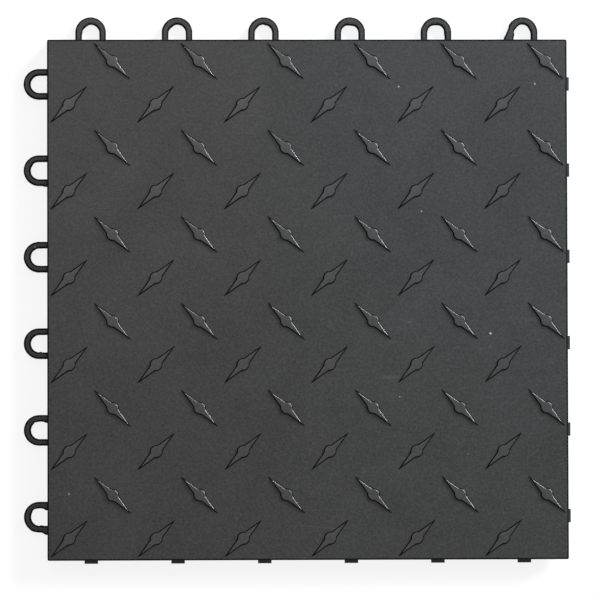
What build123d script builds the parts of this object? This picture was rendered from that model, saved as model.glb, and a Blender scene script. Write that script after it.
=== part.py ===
from build123d import *
import math
import os

# Interlocking floor tile with a diamond tread. Sizes are in millimetres.
# +X is right, +Y is back, +Z is up out of the tread. The origin is the tile's centre, on the floor.
# Loops stand out of the back and left edges; pegs hang inside the right and front edges.

# Deck
tile_size = 304.8
deck_top = 14.7
deck_thickness = 2.4
corner_radius = 1.0
deck_edge_round = 0.5

# Tread lugs
lug_pitch = 50.8
lug_height = 1.2
lug_half_length = 15.4
lug_half_width = 3.0
lug_boss_radius = 3.9
lug_side_run = 0.8
lug_angle = 45

# Edge walls
wall_thickness = 2.4
wall_floor_gap = 0.8

# Loops
loop_band = 3.9
loop_inside_width = 10.2
loop_inside_depth = 9.8
loop_tip_band = 4.2
loop_height = 4.2
loop_edge_round = 1.1

# Pegs and their hooks
peg_floor_gap = 1.0
peg_lead_in = 0.6
hook_land = 1.2
hook_drop = 0.4
hook_lead_in_height = 2.2
relief_slot = 1.0
relief_slot_height = 3.0

# Ribs, gussets, bosses and feet under the deck
rib_pitch = 25.4
rib_thickness = 1.6
rib_floor_gap = 3.0
post_radius = 3.6
foot_chamfer = 0.5

# Clearances between one tile and the next
peg_side_clearance = 1.15
peg_end_clearance = 0.8
hook_tip_clearance = 0.4
hook_window_clearance = 0.7
channel_side_clearance = 0.8
channel_top_clearance = 1.0

# So that a pitch that fits exactly isn't lost to rounding
rounding_slack = 0.001

# Worked out from the sizes above
half_tile = tile_size / 2
deck_underside = deck_top - deck_thickness
wall_inside = half_tile - wall_thickness
stations_per_side = math.floor(tile_size / lug_pitch + rounding_slack)
first_station = -(stations_per_side - 1) / 2 * lug_pitch
stations = [first_station + index * lug_pitch for index in range(stations_per_side)]
loop_bottom = wall_floor_gap
loop_top = loop_bottom + loop_height
loop_outside_width = loop_inside_width + 2 * loop_band
loop_reach = loop_inside_depth + loop_tip_band
hook_top = loop_top - hook_drop
hook_reach = wall_thickness - hook_tip_clearance
hook_window_top = hook_top + hook_window_clearance
short_wall_bottom = loop_top + channel_top_clearance
peg_width = loop_inside_width - 2 * peg_side_clearance
peg_depth = loop_inside_depth - peg_end_clearance
channel_wall = half_tile - loop_reach - channel_side_clearance
ribs_each_way = math.floor((channel_wall - post_radius) / rib_pitch + rounding_slack)
rib_lines = [index * rib_pitch for index in range(-ribs_each_way, ribs_each_way + 1)]


def block(x_range, y_range, z_range):
    """A box between two values on each axis."""
    ranges = (x_range, y_range, z_range)
    size = [high - low for low, high in ranges]
    centre = [(high + low) / 2 for low, high in ranges]
    return Pos(*centre) * Box(*size)


def deck_plate():
    """The flat top sheet, with its upper edge rounded over."""
    plate = Pos(0, 0, deck_underside) * extrude(
        RectangleRounded(tile_size, tile_size, corner_radius), deck_thickness
    )
    upper_edges = plate.faces().sort_by(Axis.Z)[-1].edges()
    return fillet(upper_edges, deck_edge_round)


def lug():
    """One raised lug along X: a long four-sided pyramid with its top cut off, and a round boss in its middle."""
    arm_slope = lug_half_width / (lug_half_length**2 + lug_half_width**2) ** 0.5
    top_half_length = lug_half_length - lug_side_run / arm_slope
    top_share = top_half_length / lug_half_length
    outline = [(lug_half_length, 0), (0, lug_half_width), (-lug_half_length, 0), (0, -lug_half_width)]
    foot = make_face(Polyline(*outline, close=True))
    crown = Pos(0, 0, lug_height) * make_face(
        Polyline(*[(x * top_share, y * top_share) for x, y in outline], close=True)
    )
    arms = loft([foot, crown], ruled=True)
    boss = Pos(0, 0, lug_height / 2) * Cone(lug_boss_radius, lug_boss_radius - lug_side_run, lug_height)
    return arms + boss


def tread_lugs(x_places, y_places, angle):
    """A square field of lugs that all lean the same way."""
    shape = Rot(0, 0, angle) * lug()
    return [Pos(x, y, deck_top) * shape for y in y_places for x in x_places]


def edge_to(side):
    """Turns a piece drawn on the right edge, pointing along +X, to another side of the tile."""
    turns = {"right": 0, "back": 90, "left": 180, "front": 270}
    return Rot(0, 0, turns[side])


def tall_wall(low_end, high_end):
    """A wall down to the floor gap on a loop side, drawn on the right edge, with a window for each hook."""
    wall = block((wall_inside, half_tile), (low_end, high_end), (wall_floor_gap, deck_underside))
    for place in stations:
        window = block(
            (wall_inside - 1, half_tile + 1),
            (place - loop_inside_width / 2, place + loop_inside_width / 2),
            (wall_floor_gap - 1, hook_window_top),
        )
        wall -= window
    return wall


def short_wall(low_end, high_end):
    """A wall on a peg side that stops above the next tile's loops, drawn on the right edge."""
    return block((wall_inside, half_tile), (low_end, high_end), (short_wall_bottom, deck_underside))


def round_corners(wall):
    """Rounds a wall's upright edges that lie on the tile's own corners."""
    corner_edges = [
        edge
        for edge in wall.edges().filter_by(Axis.Z)
        if abs(edge.center().X) + abs(edge.center().Y) > tile_size - wall_thickness / 2
    ]
    return fillet(corner_edges, corner_radius)


def edge_walls():
    """The four walls. Each corner belongs to the taller wall that meets there."""
    return {
        "wall_back": round_corners(edge_to("back") * tall_wall(-half_tile, half_tile)),
        "wall_left": round_corners(edge_to("left") * tall_wall(-wall_inside, half_tile)),
        "wall_front": round_corners(edge_to("front") * short_wall(-wall_inside, half_tile)),
        "wall_right": edge_to("right") * short_wall(-wall_inside, wall_inside),
    }


def loop():
    """One U-shaped loop on the right edge at Y = 0, standing out along +X."""
    outer_radius = loop_outside_width / 2
    inner_radius = loop_inside_width / 2
    outer_straight = loop_reach - outer_radius
    inner_straight = loop_inside_depth - inner_radius
    outside = Pos(outer_straight / 2, 0) * Rectangle(outer_straight, loop_outside_width)
    outside += Pos(outer_straight, 0) * Circle(outer_radius)
    inside = Pos(inner_straight / 2 - 1, 0) * Rectangle(inner_straight + 2, loop_inside_width)
    inside += Pos(inner_straight, 0) * Circle(inner_radius)
    beyond_edge = Pos(loop_reach / 2, 0) * Rectangle(loop_reach, loop_outside_width)
    band = extrude((outside & beyond_edge) - inside, loop_height)
    rims = [
        edge
        for face in (band.faces().sort_by(Axis.Z)[0], band.faces().sort_by(Axis.Z)[-1])
        for edge in face.edges()
        if edge.center().X > 0.01
    ]
    return Pos(half_tile, 0, loop_bottom) * fillet(rims, loop_edge_round)


def peg():
    """One peg on the right edge at Y = 0: a post behind the wall, a foot under it and a hook past the edge."""
    end_radius = peg_width / 2
    end_centre = end_radius - peg_depth
    outline = Pos(end_centre / 2, 0) * Rectangle(-end_centre, peg_width) + Pos(end_centre, 0) * Circle(end_radius)
    post = extrude(outline, deck_underside - peg_floor_gap)
    post = Pos(0, 0, peg_floor_gap) * chamfer(post.faces().sort_by(Axis.Z)[0].edges(), peg_lead_in)
    wall_space = block((-wall_thickness, 1), (-peg_width, peg_width), (short_wall_bottom, deck_top))
    slot_space = block(
        (-wall_thickness - relief_slot, -wall_thickness),
        (-peg_width, peg_width),
        (0, peg_floor_gap + relief_slot_height),
    )
    hook_foot = hook_top - hook_land - hook_lead_in_height
    hook_side = [
        (-peg_lead_in, hook_foot),
        (0, hook_foot),
        (hook_reach, hook_top - hook_land),
        (hook_reach, hook_top),
        (-peg_lead_in, hook_top),
    ]
    side_plane = Plane(origin=(0, peg_width / 2, 0), x_dir=(1, 0, 0), z_dir=(0, -1, 0))
    hook = extrude(side_plane * make_face(Polyline(*hook_side, close=True)), peg_width)
    return Pos(half_tile, 0, 0) * (post + hook - wall_space - slot_space)


def post_places():
    """Every second crossing of the ribs, staggered from one row to the next."""
    return [
        (x, y)
        for row, y in enumerate(rib_lines)
        for column, x in enumerate(rib_lines)
        if (row + column) % 2 == 0
    ]


def support_feet():
    """Round feet that lift the ribs off the floor, one under each boss of the rib grid."""
    foot = Pos(0, 0, rib_floor_gap / 2) * Cylinder(post_radius, rib_floor_gap)
    foot = chamfer(foot.faces().sort_by(Axis.Z)[0].edges(), foot_chamfer)
    return [Pos(x, y, 0) * foot for x, y in post_places()]


def rib_grid():
    """Crossed ribs with round bosses, up to the left and back walls and to the channels for the next tiles' loops."""
    rib_span = (rib_floor_gap, deck_underside)
    rib_depth = deck_underside - rib_floor_gap
    half_rib = rib_thickness / 2
    border = channel_wall - half_rib
    pieces = []
    for line in rib_lines + [border]:
        pieces.append(block((line - half_rib, line + half_rib), (-channel_wall, wall_inside), rib_span))
    for line in [-border] + rib_lines:
        pieces.append(block((-wall_inside, channel_wall), (line - half_rib, line + half_rib), rib_span))
    for x, y in post_places():
        pieces.append(Pos(x, y, rib_floor_gap + rib_depth / 2) * Cylinder(post_radius, rib_depth))
    return pieces[0].fuse(*pieces[1:])


def gussets():
    """Short upright plates across a channel, drawn on the right edge, between the pegs."""
    places = [(low + high) / 2 for low, high in zip(stations, stations[1:])]
    half_rib = rib_thickness / 2
    return [
        block((channel_wall, wall_inside), (place - half_rib, place + half_rib), (short_wall_bottom, deck_underside))
        for place in places
    ]


def tile_pieces():
    """Every piece by its name: one solid, or a list of separate solids."""
    near = [place - lug_pitch / 4 for place in stations]
    far = [place + lug_pitch / 4 for place in stations]
    pieces = {"deck_plate": deck_plate()}
    pieces["tread_lugs_falling"] = tread_lugs(far, far, -lug_angle)
    pieces["tread_lugs_rising"] = tread_lugs(near, near, lug_angle)
    pieces.update(edge_walls())
    pieces["rib_grid"] = rib_grid()
    pieces["support_feet"] = support_feet()
    for side in ("right", "front"):
        pieces[f"gussets_{side}"] = [edge_to(side) * plate for plate in gussets()]
    for number, place in enumerate(stations, 1):
        pieces[f"loop_back_{number}"] = edge_to("back") * Pos(0, -place, 0) * loop()
        pieces[f"loop_left_{number}"] = edge_to("left") * Pos(0, -place, 0) * loop()
        pieces[f"peg_right_{number}"] = edge_to("right") * Pos(0, place, 0) * peg()
        pieces[f"peg_front_{number}"] = edge_to("front") * Pos(0, place, 0) * peg()
    return pieces


os.makedirs("parts", exist_ok=True)
for name, shape in tile_pieces().items():
    solids = shape if isinstance(shape, list) else [shape]
    whole = solids[0] if len(solids) == 1 else Compound(children=solids)
    whole.label = name
    export_step(whole, f"parts/{name}.step")
    print(name, len(solids), round(sum(solid.volume for solid in solids), 1))
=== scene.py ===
import math

import bmesh
import bpy
from mathutils import Matrix, Vector, noise


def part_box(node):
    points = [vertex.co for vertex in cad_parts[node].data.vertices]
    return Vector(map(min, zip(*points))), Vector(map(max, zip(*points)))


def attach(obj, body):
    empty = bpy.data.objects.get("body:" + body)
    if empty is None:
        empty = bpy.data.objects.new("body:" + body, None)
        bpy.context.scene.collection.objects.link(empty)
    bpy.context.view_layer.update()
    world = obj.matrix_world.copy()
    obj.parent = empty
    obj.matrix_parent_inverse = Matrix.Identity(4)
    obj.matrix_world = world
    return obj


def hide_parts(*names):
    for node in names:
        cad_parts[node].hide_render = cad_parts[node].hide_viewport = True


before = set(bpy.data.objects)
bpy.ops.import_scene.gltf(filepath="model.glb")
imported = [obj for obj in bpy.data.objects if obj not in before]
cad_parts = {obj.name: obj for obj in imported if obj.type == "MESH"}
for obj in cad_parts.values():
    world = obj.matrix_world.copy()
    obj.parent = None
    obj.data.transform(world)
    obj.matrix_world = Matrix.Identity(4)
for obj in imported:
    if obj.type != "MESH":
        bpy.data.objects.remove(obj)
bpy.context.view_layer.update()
mm = 0.001

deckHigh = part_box("deck_plate")[1]
halfTile = deckHigh.x
deckTop = deckHigh.z
backLoops = sorted(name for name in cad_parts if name.startswith("loop_back_"))
stations = [(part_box(name)[0].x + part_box(name)[1].x) / 2 for name in backLoops]
lugPitch = stations[1] - stations[0]


def linear(red, green, blue):
    # a colour as a paint chart gives it, 0 to 255, turned into Blender's own values
    def one(value):
        value /= 255
        return value / 12.92 if value <= 0.04045 else ((value + 0.055) / 1.055) ** 2.4
    return (one(red), one(green), one(blue), 1)


def put(tree, kind, values=None, links=None, **settings):
    # adds one shader node: settings are its own options, values its sockets, links what feeds them
    node = tree.nodes.new(kind)
    for key, value in settings.items():
        setattr(node, key, value)
    for key, value in (values or {}).items():
        node.inputs[key].default_value = value
    for key, source in (links or {}).items():
        tree.links.new(source, node.inputs[key])
    return node


def newGroup(name, inputs, outputs):
    group = bpy.data.node_groups.new(name, "ShaderNodeTree")
    for label, kind, value in inputs:
        socket = group.interface.new_socket(name=label, in_out="INPUT", socket_type=kind)
        if value is not None:
            socket.default_value = value
    for label, kind in outputs:
        group.interface.new_socket(name=label, in_out="OUTPUT", socket_type=kind)
    return group, group.nodes.new("NodeGroupInput"), group.nodes.new("NodeGroupOutput")


def newPiece(name, mesh, material):
    piece = bpy.data.objects.new(name, mesh)
    bpy.context.scene.collection.objects.link(piece)
    mesh.materials.append(material)
    for face in mesh.polygons:
        face.use_smooth = True
    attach(piece, "root")
    return piece


def makeGrainGroup():
    # the fine spark-eroded grain of the mould, as a height from 0 to 1
    group, given, result = newGroup(
        "mouldGrain",
        [("Place", "NodeSocketVector", None), ("Grain per metre", "NodeSocketFloat", 2600)],
        [("Height", "NodeSocketFloat")],
    )
    coarse = put(group, "ShaderNodeTexNoise", {"Detail": 3, "Roughness": 0.6},
                 {"Vector": given.outputs["Place"], "Scale": given.outputs["Grain per metre"]})
    pits = put(group, "ShaderNodeTexVoronoi", {"Randomness": 1},
               {"Vector": given.outputs["Place"], "Scale": given.outputs["Grain per metre"]},
               feature="SMOOTH_F1")
    both = put(group, "ShaderNodeMix", {"Factor": 0.35},
               {"A": coarse.outputs["Fac"], "B": pits.outputs["Distance"]}, data_type="FLOAT")
    group.links.new(both.outputs["Result"], result.inputs["Height"])
    return group


def makeCloudGroup():
    # large soft clouds where the melt flowed and cooled unevenly, from 0 to 1
    group, given, result = newGroup(
        "flowClouds",
        [("Place", "NodeSocketVector", None), ("Clouds per metre", "NodeSocketFloat", 22),
         ("Contrast", "NodeSocketFloat", 1.0)],
        [("Mask", "NodeSocketFloat")],
    )
    big = put(group, "ShaderNodeTexNoise", {"Detail": 5, "Roughness": 0.55, "Distortion": 0.6},
              {"Vector": given.outputs["Place"], "Scale": given.outputs["Clouds per metre"]})
    centred = put(group, "ShaderNodeMath", {1: 0.5}, {0: big.outputs["Fac"]}, operation="SUBTRACT")
    stretched = put(group, "ShaderNodeMath", None,
                    {0: centred.outputs[0], 1: given.outputs["Contrast"]}, operation="MULTIPLY")
    back = put(group, "ShaderNodeMath", {1: 0.5}, {0: stretched.outputs[0]},
               operation="ADD", use_clamp=True)
    group.links.new(back.outputs[0], result.inputs["Mask"])
    return group


def makeDustGroup():
    # sparse pale specks of dust, each in its own random cell
    group, given, result = newGroup(
        "dustSpecks",
        [("Place", "NodeSocketVector", None), ("Cells per metre", "NodeSocketFloat", 150),
         ("Share of cells", "NodeSocketFloat", 0.1), ("Speck radius", "NodeSocketFloat", 0.05)],
        [("Mask", "NodeSocketFloat")],
    )
    cells = put(group, "ShaderNodeTexVoronoi", {"Randomness": 1},
                {"Vector": given.outputs["Place"], "Scale": given.outputs["Cells per metre"]})
    draw = put(group, "ShaderNodeSeparateColor", None, {"Color": cells.outputs["Color"]})
    chosen = put(group, "ShaderNodeMath", None,
                 {0: draw.outputs["Red"], 1: given.outputs["Share of cells"]}, operation="LESS_THAN")
    ownSize = put(group, "ShaderNodeMath", None,
                  {0: draw.outputs["Green"], 1: given.outputs["Speck radius"]}, operation="MULTIPLY")
    soft = put(group, "ShaderNodeMapRange", {"From Min": 0, "To Min": 1, "To Max": 0},
               {"Value": cells.outputs["Distance"], "From Max": ownSize.outputs[0]})
    both = put(group, "ShaderNodeMath", None, {0: chosen.outputs[0], 1: soft.outputs["Result"]},
               operation="MULTIPLY")
    group.links.new(both.outputs[0], result.inputs["Mask"])
    return group


def makeScratchGroup():
    # hairline scratches: thin bands of a strongly stretched noise, only in scattered patches
    group, given, result = newGroup(
        "hairScratches",
        [("Place", "NodeSocketVector", None), ("Turn", "NodeSocketVector", (0, 0, 0.5)),
         ("Line width", "NodeSocketFloat", 0.004)],
        [("Mask", "NodeSocketFloat")],
    )
    turned = put(group, "ShaderNodeMapping", {"Scale": (4, 90, 4)},
                 {"Vector": given.outputs["Place"], "Rotation": given.outputs["Turn"]})
    streaks = put(group, "ShaderNodeTexNoise", {"Scale": 1, "Detail": 1.5, "Distortion": 0.3},
                  {"Vector": turned.outputs["Vector"]})
    offCentre = put(group, "ShaderNodeMath", {1: 0.5}, {0: streaks.outputs["Fac"]}, operation="SUBTRACT")
    distance = put(group, "ShaderNodeMath", None, {0: offCentre.outputs[0]}, operation="ABSOLUTE")
    line = put(group, "ShaderNodeMapRange", {"From Min": 0, "To Min": 1, "To Max": 0},
               {"Value": distance.outputs[0], "From Max": given.outputs["Line width"]})
    patches = put(group, "ShaderNodeTexNoise", {"Scale": 26, "Detail": 2},
                  {"Vector": given.outputs["Place"]})
    scattered = put(group, "ShaderNodeMapRange", {"From Min": 0.6, "From Max": 0.72},
                    {"Value": patches.outputs["Fac"]})
    both = put(group, "ShaderNodeMath", None, {0: line.outputs["Result"], 1: scattered.outputs["Result"]},
               operation="MULTIPLY")
    group.links.new(both.outputs[0], result.inputs["Mask"])
    return group


groups = {
    "grain": makeGrainGroup(),
    "clouds": makeCloudGroup(),
    "dust": makeDustGroup(),
    "scratches": makeScratchGroup(),
}
print("shader groups made")


def makePlastic(name, look):
    # satin black polypropylene; look holds what differs from one part of the moulding to the next, and the
    # darker and lighter copies that paint shade and light
    material = bpy.data.materials.new(name)
    material.use_nodes = True
    tree = material.node_tree
    shader = tree.nodes["Principled BSDF"]
    shader.inputs["Specular IOR Level"].default_value = look["specular"]
    place = put(tree, "ShaderNodeTexCoord").outputs["Object"]
    clouds = put(tree, "ShaderNodeGroup", node_tree=groups["clouds"],
                 values={"Clouds per metre": look["cloudsPerMetre"], "Contrast": look["cloudContrast"]},
                 links={"Place": place})
    dust = put(tree, "ShaderNodeGroup", node_tree=groups["dust"],
               values={"Share of cells": look["dustShare"], "Speck radius": look["dustRadius"]},
               links={"Place": place})
    scratches = put(tree, "ShaderNodeGroup", node_tree=groups["scratches"], links={"Place": place})
    grain = put(tree, "ShaderNodeGroup", node_tree=groups["grain"],
                values={"Grain per metre": look["grainPerMetre"]}, links={"Place": place})
    speckle = put(tree, "ShaderNodeGroup", node_tree=groups["grain"],
                  values={"Grain per metre": look["specklePerMetre"]}, links={"Place": place})
    speckleMask = put(tree, "ShaderNodeMapRange", {"From Min": 0.3, "From Max": 0.7},
                      {"Value": speckle.outputs["Height"]})
    mottle = put(tree, "ShaderNodeMix", {"Factor": look["speckleShare"]},
                 {"A": clouds.outputs["Mask"], "B": speckleMask.outputs["Result"]}, data_type="FLOAT")
    tone = put(tree, "ShaderNodeMix", {"A": look["dark"], "B": look["light"]},
               {"Factor": mottle.outputs["Result"]}, data_type="RGBA")
    scratched = put(tree, "ShaderNodeMix", {"B": look["scratchColour"]},
                    {"A": tone.outputs["Result"]}, data_type="RGBA")
    amount = put(tree, "ShaderNodeMath", {1: look["scratchAmount"]},
                 {0: scratches.outputs["Mask"]}, operation="MULTIPLY")
    tree.links.new(amount.outputs[0], scratched.inputs["Factor"])
    dusty = put(tree, "ShaderNodeMix", {"B": look["dustColour"]},
                {"A": scratched.outputs["Result"], "Factor": dust.outputs["Mask"]}, data_type="RGBA")
    tree.links.new(dusty.outputs["Result"], shader.inputs["Base Color"])
    gloss = put(tree, "ShaderNodeMapRange", {"To Min": look["roughness"][0], "To Max": look["roughness"][1]},
                {"Value": mottle.outputs["Result"]})
    tree.links.new(gloss.outputs["Result"], shader.inputs["Roughness"])
    bump = put(tree, "ShaderNodeBump", {"Strength": look["grainStrength"], "Distance": look["grainDepth"]},
               {"Height": grain.outputs["Height"]})
    tree.links.new(bump.outputs["Normal"], shader.inputs["Normal"])
    return material


plasticLook = {
    "dark": linear(5, 5, 5),
    "light": linear(35, 35, 35),
    "cloudsPerMetre": 24,
    "cloudContrast": 1.3,
    "specklePerMetre": 800,
    "speckleShare": 0.6,
    "roughness": (0.34, 0.44),
    "specular": 0.31,
    "grainPerMetre": 900,
    "grainDepth": 0.00006,
    "grainStrength": 0.8,
    "dustShare": 0.06,
    "dustRadius": 0.13,
    "dustColour": linear(150, 148, 146),
    "scratchColour": linear(95, 94, 94),
    "scratchAmount": 0.12,
}
deckPlastic = makePlastic("deckPlastic", plasticLook)
lugPlastic = makePlastic("lugPlastic", {**plasticLook, "dustShare": 0.0, "grainStrength": 0.05,
                                        "roughness": (0.29, 0.33), "scratchAmount": 0.05,
                                        "cloudContrast": 0.8, "specular": 0.47})
loopPlastic = makePlastic("loopPlastic", {**plasticLook, "dustShare": 0.04, "roughness": (0.32, 0.42),
                                          "cloudsPerMetre": 90})
# a darker, nearly unreflecting copy of the plastic: painted shade on the loops' sides and edges and along
# the deck's rim
edgeShadePlastic = makePlastic("edgeShadePlastic", {**plasticLook, "dustShare": 0.03, "roughness": (0.5, 0.62),
                                          "dark": linear(9, 9, 9), "light": linear(17, 17, 17),
                                          "specular": 0.03, "cloudsPerMetre": 120})
# a near-black, nearly unreflecting plastic on the lugs' steep flanks: painted shade
flankShadePlastic = makePlastic("flankShadePlastic", {**plasticLook, "dustShare": 0.0, "roughness": (0.3, 0.4),
                                            "dark": linear(4, 4, 4), "light": linear(10, 10, 10),
                                            "specular": 0.03, "cloudsPerMetre": 120})
wallPlastic = makePlastic("wallPlastic", {**plasticLook, "dustShare": 0.05, "cloudsPerMetre": 40})
# a lighter copy of the same black plastic for the underside: painted light, standing in for the light the
# underside lacks
paintedLightUndersidePlastic = makePlastic("paintedLightUndersidePlastic", {**plasticLook, "dustShare": 0.03,
                                                    "dark": linear(24, 24, 24), "light": linear(58, 57, 57),
                                                    "specular": 0.4, "roughness": (0.42, 0.56)})
print("plastics made")


lug = {
    "halfLength": 16.4 * mm,
    "halfWidth": 2.78 * mm,
    "bossRadius": 3.77 * mm,
    "endLength": 15.5 * mm,
    "bossBlend": 0.2 * mm,
    "endBlend": 0.3 * mm,
    "tipRoom": 0.1 * mm,      # the last cross-section is this far past the tip
    "tipCrowding": 0.36,      # 0 spreads the cross-sections evenly, 0.5 crowds them most at the tips
    "steps": 88,
    "sink": 0.01 * mm,        # how deep the foot is set into the deck
    "weld": 0.004 * mm,
    "flankShadeLevels": (0, 4),    # the steps of the profile that take the flank's painted shade, a darker and less glossy plastic
    # millimetres in from the outline, and height there: foot fillet, steep flank, rounded crown
    "profile": ((-0.06, 0.0), (0.0, 0.03), (0.05, 0.11), (0.15, 0.27), (0.38, 0.65), (0.55, 0.93),
                (0.62, 1.035), (0.7, 1.115), (0.78, 1.162), (0.88, 1.19), (1.0, 1.2)),
}


def softMax(a, b, blend):
    # the larger of two values, with their meeting rounded off
    return 0.5 * (a + b + math.sqrt((a - b) ** 2 + blend * blend))


def insideLug(along, across):
    # how far a place is inside the lug's outline; negative outside
    slope = math.atan2(lug["halfWidth"], lug["halfLength"])
    arm = (lug["halfWidth"] * (1 - abs(along) / lug["halfLength"]) - abs(across)) * math.cos(slope)
    end = lug["endLength"] - abs(along)
    arm = -softMax(-arm, -end, lug["endBlend"])
    boss = lug["bossRadius"] - math.hypot(along, across)
    return softMax(arm, boss, lug["bossBlend"]) - 0.25 * lug["bossBlend"]


def lugHeight(inside):
    points = lug["profile"]
    inside /= mm
    if inside <= points[0][0]:
        return 0
    for (lowIn, lowHeight), (highIn, highHeight) in zip(points, points[1:]):
        if inside <= highIn:
            share = (inside - lowIn) / (highIn - lowIn)
            return (lowHeight + share * (highHeight - lowHeight)) * mm
    return points[-1][1] * mm


def contourAt(along, inside):
    # how far out from the middle line the contour lies, or 0 where the lug is too narrow to have it
    if insideLug(along, 0) <= inside:
        return 0
    low, high = 0, 5 * mm
    for _ in range(26):       # each pass halves the 5 mm that hold the contour
        middle = (low + high) / 2
        if insideLug(along, middle) > inside:
            low = middle
        else:
            high = middle
    return low


def lugRows():
    # cross-sections from tip to tip, closer together near the tips
    levels = [inside * mm for inside, _ in lug["profile"]]
    reach = lug["endLength"] - levels[0] + lug["tipRoom"]
    crowding = lug["tipCrowding"]
    rows = []
    for step in range(lug["steps"] + 1):
        turn = math.pi * (step / lug["steps"] - 0.5) * (2 * crowding)
        along = reach * math.sin(turn) / math.sin(math.pi * crowding)
        offsets = [contourAt(along, level) for level in levels]
        half = [Vector((along, offset, lugHeight(min(level, insideLug(along, 0)))))
                for offset, level in zip(offsets, levels)]
        middle = Vector((along, 0, lugHeight(insideLug(along, 0))))
        other = [Vector((point.x, -point.y, point.z)) for point in reversed(half)]
        rows.append(half + [middle] + other)
    return rows


def makeLugMesh(name, places, angle):
    # one lug made from its cross-sections, then set down at every place
    turn = Matrix.Rotation(angle, 3, "Z")
    rows = lugRows()
    one = bmesh.new()
    made = [[one.verts.new(turn @ point) for point in row] for row in rows]
    last = len(rows[0]) - 2
    shadeLow, shadeHigh = lug["flankShadeLevels"]
    for step in range(len(rows) - 1):
        for place in range(last + 1):
            face = one.faces.new((made[step][place], made[step][place + 1],
                                  made[step + 1][place + 1], made[step + 1][place]))
            level = min(place, last - place)
            # faces on the flank take the second plastic, which paints shade there
            face.material_index = 1 if shadeLow <= level <= shadeHigh else 0
    bmesh.ops.remove_doubles(one, verts=one.verts, dist=lug["weld"])
    bmesh.ops.recalc_face_normals(one, faces=one.faces)
    if sum(face.normal.z for face in one.faces) < 0:
        bmesh.ops.reverse_faces(one, faces=one.faces)
    points = [vertex.co.copy() for vertex in one.verts]
    faces = [[vertex.index for vertex in face.verts] for face in one.faces]
    indices = [face.material_index for face in one.faces]
    one.free()
    allPoints = []
    allFaces = []
    for x, y in places:
        start = len(allPoints)
        allPoints += [point + Vector((x, y, deckTop - lug["sink"])) for point in points]
        allFaces += [[start + index for index in face] for face in faces]
    mesh = bpy.data.meshes.new(name)
    mesh.from_pydata(allPoints, [], allFaces)
    mesh.polygons.foreach_set("material_index", indices * len(places))
    return mesh


for name, shift, angle, node in (
    ("lugsFalling", lugPitch / 4, -math.pi / 4, "tread_lugs_falling"),
    ("lugsRising", -lugPitch / 4, math.pi / 4, "tread_lugs_rising"),
):
    spots = [place + shift for place in stations]
    mesh = makeLugMesh(name, [(x, y) for y in spots for x in spots], angle)
    piece = newPiece(name, mesh, lugPlastic)
    mesh.materials.append(flankShadePlastic)
    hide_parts(node)
print("lugs made")


loop = {
    "inside": 5.1 * mm,
    "outside": 9.0 * mm,
    "insideStraight": 4.7 * mm,
    "outsideStraight": 5.0 * mm,
    "bottom": 0.8 * mm,
    "top": 5.0 * mm,
    # the upper edge: how far in from the side, and how far down from the top
    "upperEdge": ((0.0, 0.62 * mm), (0.12 * mm, 0.36 * mm), (0.38 * mm, 0.17 * mm), (0.7 * mm, 0.06 * mm),
                  (1.0 * mm, 0.0)),
    # the lower edge: how far in from the side, and how far up from the bottom
    "lowerEdge": ((0.0, 0.9 * mm), (0.3 * mm, 0.3 * mm), (0.9 * mm, 0.0)),
    "edgeStep": 0.3 * mm,     # the side starts this far under the upper edge
    "steps": 60,
    "roughen": 0.07 * mm,
    "roughWaves": 22,         # along the whole loop
    "topDip": 0.05 * mm,
    "dipWaves": 15,
    "flatTop": 0.985,         # faces that look up more squarely than this take the loop's own plastic; all others take the darker edge plastic, which paints shade on the loop's sides and edges
    # flash left by the mould: place along the loop from 0 to 1, half its length, and millimetres of plastic
    "flashInside": {
        "loop_back_1": ((0.36, 0.11, 0.5), (0.2, 0.03, 0.25)),
        "loop_back_2": ((0.36, 0.09, 0.45),),
        "loop_back_3": ((0.55, 0.03, 0.35), (0.33, 0.05, 0.25)),
        "loop_back_4": ((0.52, 0.1, 0.6),),
        "loop_back_5": ((0.5, 0.08, 0.45), (0.8, 0.06, 0.3)),
        "loop_back_6": ((0.32, 0.09, 0.6), (0.14, 0.05, 0.5), (0.72, 0.08, 0.35)),
        "loop_left_2": ((0.7, 0.03, -0.3), (0.97, 0.05, 0.8)),
        "loop_left_1": ((0.68, 0.06, -0.5), (0.97, 0.06, 1.2), (0.15, 0.03, 0.4)),
        "loop_left_3": ((0.16, 0.03, 0.35),),
        "loop_left_5": ((0.7, 0.05, -0.3),),
    },
    "flashOutside": {
        "loop_back_6": ((0.2, 0.05, -0.5), (0.03, 0.07, 1.8)),
        "loop_left_1": ((0.02, 0.05, 1.5), (0.25, 0.04, 0.25)),
        "loop_left_5": ((0.02, 0.04, 0.5),),
    },
}


def bump(value, centre, halfLength):
    # 1 at the centre, fading smoothly to both sides
    return math.exp(-((value - centre) / halfLength) ** 2)


def flashAt(share, flashes):
    return sum(amount * bump(share, place, half) for place, half, amount in flashes) * mm


def uShape(share, radius, straight, wander):
    # a place on a U that opens at 0 and stands out along Y; wander pushes it away from the middle
    arc = math.pi * radius
    travel = share * (2 * straight + arc)
    if travel < straight:
        return Vector((-radius - wander, travel, 0))
    if travel > straight + arc:
        return Vector((radius + wander, 2 * straight + arc - travel, 0))
    angle = math.pi - (travel - straight) / radius
    return Vector(((radius + wander) * math.cos(angle), straight + (radius + wander) * math.sin(angle), 0))


def sectionRing():
    # the band's section, as a share of the way out and a share of the height: softened edges, upright sides
    width = loop["outside"] - loop["inside"]
    height = loop["top"] - loop["bottom"]
    upper = loop["upperEdge"]
    half = [(width / 2, height), (width - upper[-1][0], height)]
    half += [(width - inward, height - drop) for inward, drop in reversed(upper[:-1])]
    half.append((width, height - upper[0][1] - loop["edgeStep"]))
    half += [(width - inward, rise) for inward, rise in loop["lowerEdge"]]
    half.append((width / 2, 0))
    ring = half + [(width - x, z) for x, z in reversed(half[1:-1])]
    return [(x / width, z / height) for x, z in ring]


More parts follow.
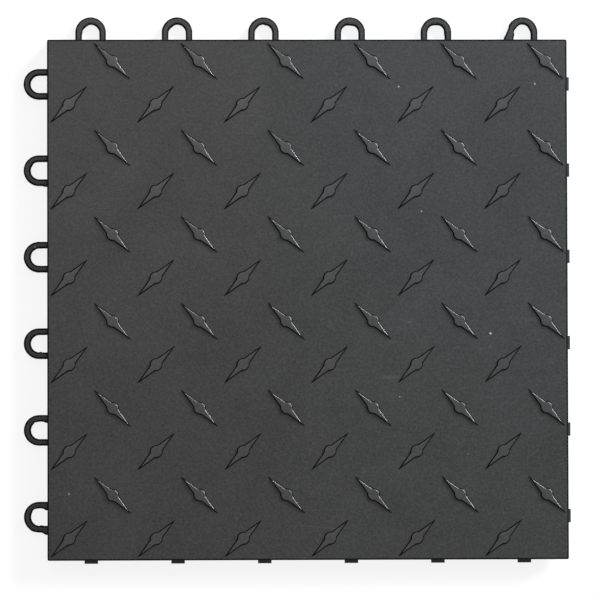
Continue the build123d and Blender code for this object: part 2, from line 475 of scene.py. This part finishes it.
def makeLoopMesh(name, seed):
    # the band's section swept along the U, with the mould's flash and slight unevenness
    ring = sectionRing()
    rows = []
    for step in range(loop["steps"] + 1):
        share = step / loop["steps"]
        inward = flashAt(share, loop["flashInside"].get(name, ()))
        outward = flashAt(share, loop["flashOutside"].get(name, ()))
        inward += loop["roughen"] * noise.noise(Vector((share * loop["roughWaves"], seed, 0)))
        outward += loop["roughen"] * noise.noise(Vector((share * loop["roughWaves"], seed, 9)))
        inside = uShape(share, loop["inside"], loop["insideStraight"], -inward)
        outside = uShape(share, loop["outside"], loop["outsideStraight"], outward)
        row = []
        for across, up in ring:
            point = inside.lerp(outside, across)
            point.z = loop["bottom"] + up * (loop["top"] - loop["bottom"])
            if up > 0.9:
                lift = loop["topDip"] * noise.noise(Vector((share * loop["dipWaves"], across * 2, seed)))
                point.z += min(lift, 0)
            row.append(point)
        rows.append(row)
    points = [point for row in rows for point in row]
    count = len(ring)
    faces = [[step * count + place, step * count + (place + 1) % count,
              (step + 1) * count + (place + 1) % count, (step + 1) * count + place]
             for step in range(loop["steps"]) for place in range(count)]
    faces += [list(range(count)), [loop["steps"] * count + place for place in range(count)]]
    mesh = bpy.data.meshes.new(name)
    mesh.from_pydata(points, [], faces)
    shaped = bmesh.new()
    shaped.from_mesh(mesh)
    bmesh.ops.recalc_face_normals(shaped, faces=shaped.faces)
    shaped.to_mesh(mesh)
    shaped.free()
    return mesh


for number, place in enumerate(stations, 1):
    for side, centre, angle in (("back", (place, halfTile), 0), ("left", (-halfTile, place), math.pi / 2)):
        node = f"loop_{side}_{number}"
        mesh = makeLoopMesh(node, number * 3.7 + angle)
        mesh.transform(Matrix.Translation((*centre, 0)) @ Matrix.Rotation(angle, 4, "Z"))
        piece = newPiece(f"loop{side.title()}{number}", mesh, loopPlastic)
        # all but the loop's flat top take the darker edge plastic: painted shade on its sides and edges
        mesh.materials.append(edgeShadePlastic)
        for face in mesh.polygons:
            face.material_index = 0 if face.normal.z > loop["flatTop"] else 1
        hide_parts(node)
print("loops made")


# the deck's rim of painted shade: how wide it is and how its inner border wanders
deckShadeRim = {
    "cornerRadius": 1.0 * mm,
    "band": 0.95 * mm,
    "edgeRadius": 0.5 * mm,
    "skin": 0.012 * mm,
    "innerLift": 0.3,         # share of the skin by which its inner border clears the deck
    "sideSteps": 150,
    "turnStep": 15,           # degrees
    "wander": 0.16 * mm,
    "wavesPerMetre": 160,
}


def rimOutline():
    # the deck's rounded square as corner centre and direction outwards, walked once around
    radius = deckShadeRim["cornerRadius"]
    inner = halfTile - radius
    corners = [((inner, inner), 0), ((-inner, inner), 90), ((-inner, -inner), 180), ((inner, -inner), 270)]
    walk = []
    for index, (centre, start) in enumerate(corners):
        for turn in range(0, 91, deckShadeRim["turnStep"]):
            angle = math.radians(start + turn)
            walk.append((Vector((*centre, 0)), Vector((math.cos(angle), math.sin(angle), 0))))
        following = corners[(index + 1) % 4][0]
        angle = math.radians(start + 90)
        for step in range(1, deckShadeRim["sideSteps"]):
            place = Vector((*centre, 0)).lerp(Vector((*following, 0)), step / deckShadeRim["sideSteps"])
            walk.append((place, Vector((math.cos(angle), math.sin(angle), 0))))
    return walk


def makeDeckShadeRim():
    # painted shade along the deck's edge, darker than the deck: a thin skin over its rounding
    radius, edge, skin = deckShadeRim["cornerRadius"], deckShadeRim["edgeRadius"], deckShadeRim["skin"]
    innerHeight = deckTop + skin * deckShadeRim["innerLift"]
    points = []
    walk = rimOutline()
    for centre, outward in walk:
        spot = centre + outward * radius
        wander = deckShadeRim["wander"] * noise.noise(spot * deckShadeRim["wavesPerMetre"])
        inset = radius - deckShadeRim["band"] + wander
        points.append(centre + outward * inset + Vector((0, 0, innerHeight)))
        for turn in range(90, -1, -deckShadeRim["turnStep"]):
            angle = math.radians(turn)
            inset = radius - edge + (edge + skin) * math.cos(angle)
            height = deckTop - edge + (edge + skin) * math.sin(angle)
            points.append(centre + outward * inset + Vector((0, 0, height)))
    count = len(points) // len(walk)
    faces = []
    for step in range(len(walk)):
        following = (step + 1) % len(walk)
        for place in range(count - 1):
            faces.append((step * count + place, step * count + place + 1,
                          following * count + place + 1, following * count + place))
    mesh = bpy.data.meshes.new("deckShadeRim")
    mesh.from_pydata(points, [], faces)
    return newPiece("deckShadeRim", mesh, edgeShadePlastic)


makeDeckShadeRim()
print("deck rim made")


nodeMaterials = {
    "deck_plate": deckPlastic, "wall": wallPlastic, "peg": wallPlastic, "loop": loopPlastic,
    "rib_grid": paintedLightUndersidePlastic, "gussets": paintedLightUndersidePlastic, "support_feet": paintedLightUndersidePlastic,
}
# how far the edges of each kind of node are softened
softened = {"wall": 0.25 * mm, "peg": 0.2 * mm, "gussets": 0.2 * mm, "support": 0.2 * mm}
for name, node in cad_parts.items():
    for start, material in nodeMaterials.items():
        if name.startswith(start):
            node.data.materials.clear()
            node.data.materials.append(material)
    if name.startswith(tuple(softened)):
        softEdge = node.modifiers.new("softEdge", "BEVEL")
        softEdge.width = softened[name.split("_")[0]]
        softEdge.segments = 2
        softEdge.limit_method = "ANGLE"
        softEdge.angle_limit = math.radians(50)
print("CAD nodes painted")


studio = {
    "floorSize": 60.0,
    "floorDrop": 0.05 * mm,
    "floorColour": (0.8, 0.8, 0.8, 1),
    "floorGlow": 0.85,        # share of the floor's look that is plain white and takes no shadow
    "worldLight": 0.5,
    "lens": 300,
    "sensor": 36,
    "aim": (-4.62 * mm, -0.40 * mm),
    "distance": 2925.8 * mm,
    "leanToFront": math.radians(1.932),
    "leanToLeft": math.radians(1.568),
    "roll": math.radians(-0.159),
}


def lightPathMask(tree):
    # 1 for what the camera sees and for reflections, 0 for all other light
    path = put(tree, "ShaderNodeLightPath")
    seen = put(tree, "ShaderNodeMath", None,
               {0: path.outputs["Is Camera Ray"], 1: path.outputs["Is Glossy Ray"]}, operation="MAXIMUM")
    return seen.outputs[0]


def makeFloor():
    mesh = bpy.data.meshes.new("floor")
    bm = bmesh.new()
    bmesh.ops.create_grid(bm, x_segments=1, y_segments=1, size=studio["floorSize"] / 2)
    bm.to_mesh(mesh)
    bm.free()
    floor = bpy.data.objects.new("floor", mesh)
    floor.location.z = -studio["floorDrop"]
    bpy.context.scene.collection.objects.link(floor)
    material = bpy.data.materials.new("floorWhite")
    material.use_nodes = True
    tree = material.node_tree
    tree.nodes.clear()
    diffuse = put(tree, "ShaderNodeBsdfDiffuse", {"Color": studio["floorColour"]})
    glow = put(tree, "ShaderNodeEmission", {"Color": (1, 1, 1, 1), "Strength": 1})
    share = put(tree, "ShaderNodeMath", {1: studio["floorGlow"]}, {0: lightPathMask(tree)},
                operation="MULTIPLY")
    mixed = put(tree, "ShaderNodeMixShader", None, {"Fac": share.outputs[0]})
    tree.links.new(diffuse.outputs[0], mixed.inputs[1])
    tree.links.new(glow.outputs[0], mixed.inputs[2])
    # from below the floor is clear, so that the underside can be seen
    side = put(tree, "ShaderNodeNewGeometry")
    clear = put(tree, "ShaderNodeBsdfTransparent")
    oneSided = put(tree, "ShaderNodeMixShader", None, {"Fac": side.outputs["Backfacing"]})
    tree.links.new(mixed.outputs[0], oneSided.inputs[1])
    tree.links.new(clear.outputs[0], oneSided.inputs[2])
    put(tree, "ShaderNodeOutputMaterial", None, {"Surface": oneSided.outputs[0]})
    mesh.materials.append(material)


def makeWorld():
    world = bpy.data.worlds.new("studio")
    bpy.context.scene.world = world
    world.use_nodes = True
    tree = world.node_tree
    tree.nodes.clear()
    strength = put(tree, "ShaderNodeMapRange", {"To Min": studio["worldLight"], "To Max": 1},
                   {"Value": lightPathMask(tree)})
    glow = put(tree, "ShaderNodeBackground", {"Color": (1, 1, 1, 1)},
               {"Strength": strength.outputs["Result"]})
    put(tree, "ShaderNodeOutputWorld", None, {"Surface": glow.outputs[0]})


lamps = {
    # a broad panel low on the back right, which draws the bright lines on the lugs
    "key": {"power": 400, "place": (2.14, 1.62, 1.25), "target": (0, 0, 0.015), "size": (1.8, 0.85),
            "colour": (0.97, 0.985, 1.0)},
    # overhead panels behind the tile, warmer on the left: their edge fades across the deck
    "overheadLeft": {"power": 4.4, "place": (-0.5, 0.63, 1.0), "target": (-0.5, 0.63, 0.0),
                     "size": (1.0, 1.0), "colour": (1.0, 0.84, 0.78)},
    "overheadRight": {"power": 3.9, "place": (0.5, 0.63, 1.0), "target": (0.5, 0.63, 0.0),
                      "size": (1.0, 1.0), "colour": (0.6, 0.82, 1.0)},
}


def makeLamp(name, lamp):
    light = bpy.data.lights.new(name, "AREA")
    light.shape = "RECTANGLE"
    light.energy = lamp["power"]
    light.size, light.size_y = lamp["size"]
    light.color = lamp["colour"]
    holder = bpy.data.objects.new(name, light)
    holder.location = lamp["place"]
    toTarget = Vector(lamp["target"]) - Vector(lamp["place"])
    holder.rotation_euler = toTarget.to_track_quat("-Z", "Y").to_euler()
    bpy.context.scene.collection.objects.link(holder)


def makeCamera():
    # nearly straight above, leaning a little to the front and to the left
    camera = bpy.data.cameras.new("camera")
    camera.lens = studio["lens"]
    camera.sensor_width = studio["sensor"]
    camera.clip_end = 200
    holder = bpy.data.objects.new("camera", camera)
    turn = (Matrix.Rotation(-studio["leanToLeft"], 4, "Y") @ Matrix.Rotation(studio["leanToFront"], 4, "X")
            @ Matrix.Rotation(studio["roll"], 4, "Z"))
    aim = Vector((*studio["aim"], deckTop))
    holder.matrix_world = Matrix.Translation(aim + turn @ Vector((0, 0, studio["distance"]))) @ turn
    bpy.context.scene.collection.objects.link(holder)
    bpy.context.scene.camera = holder


makeFloor()
makeWorld()
for name, lamp in lamps.items():
    makeLamp(name, lamp)
makeCamera()
bpy.context.scene.view_settings.view_transform = "Standard"
print("studio made")
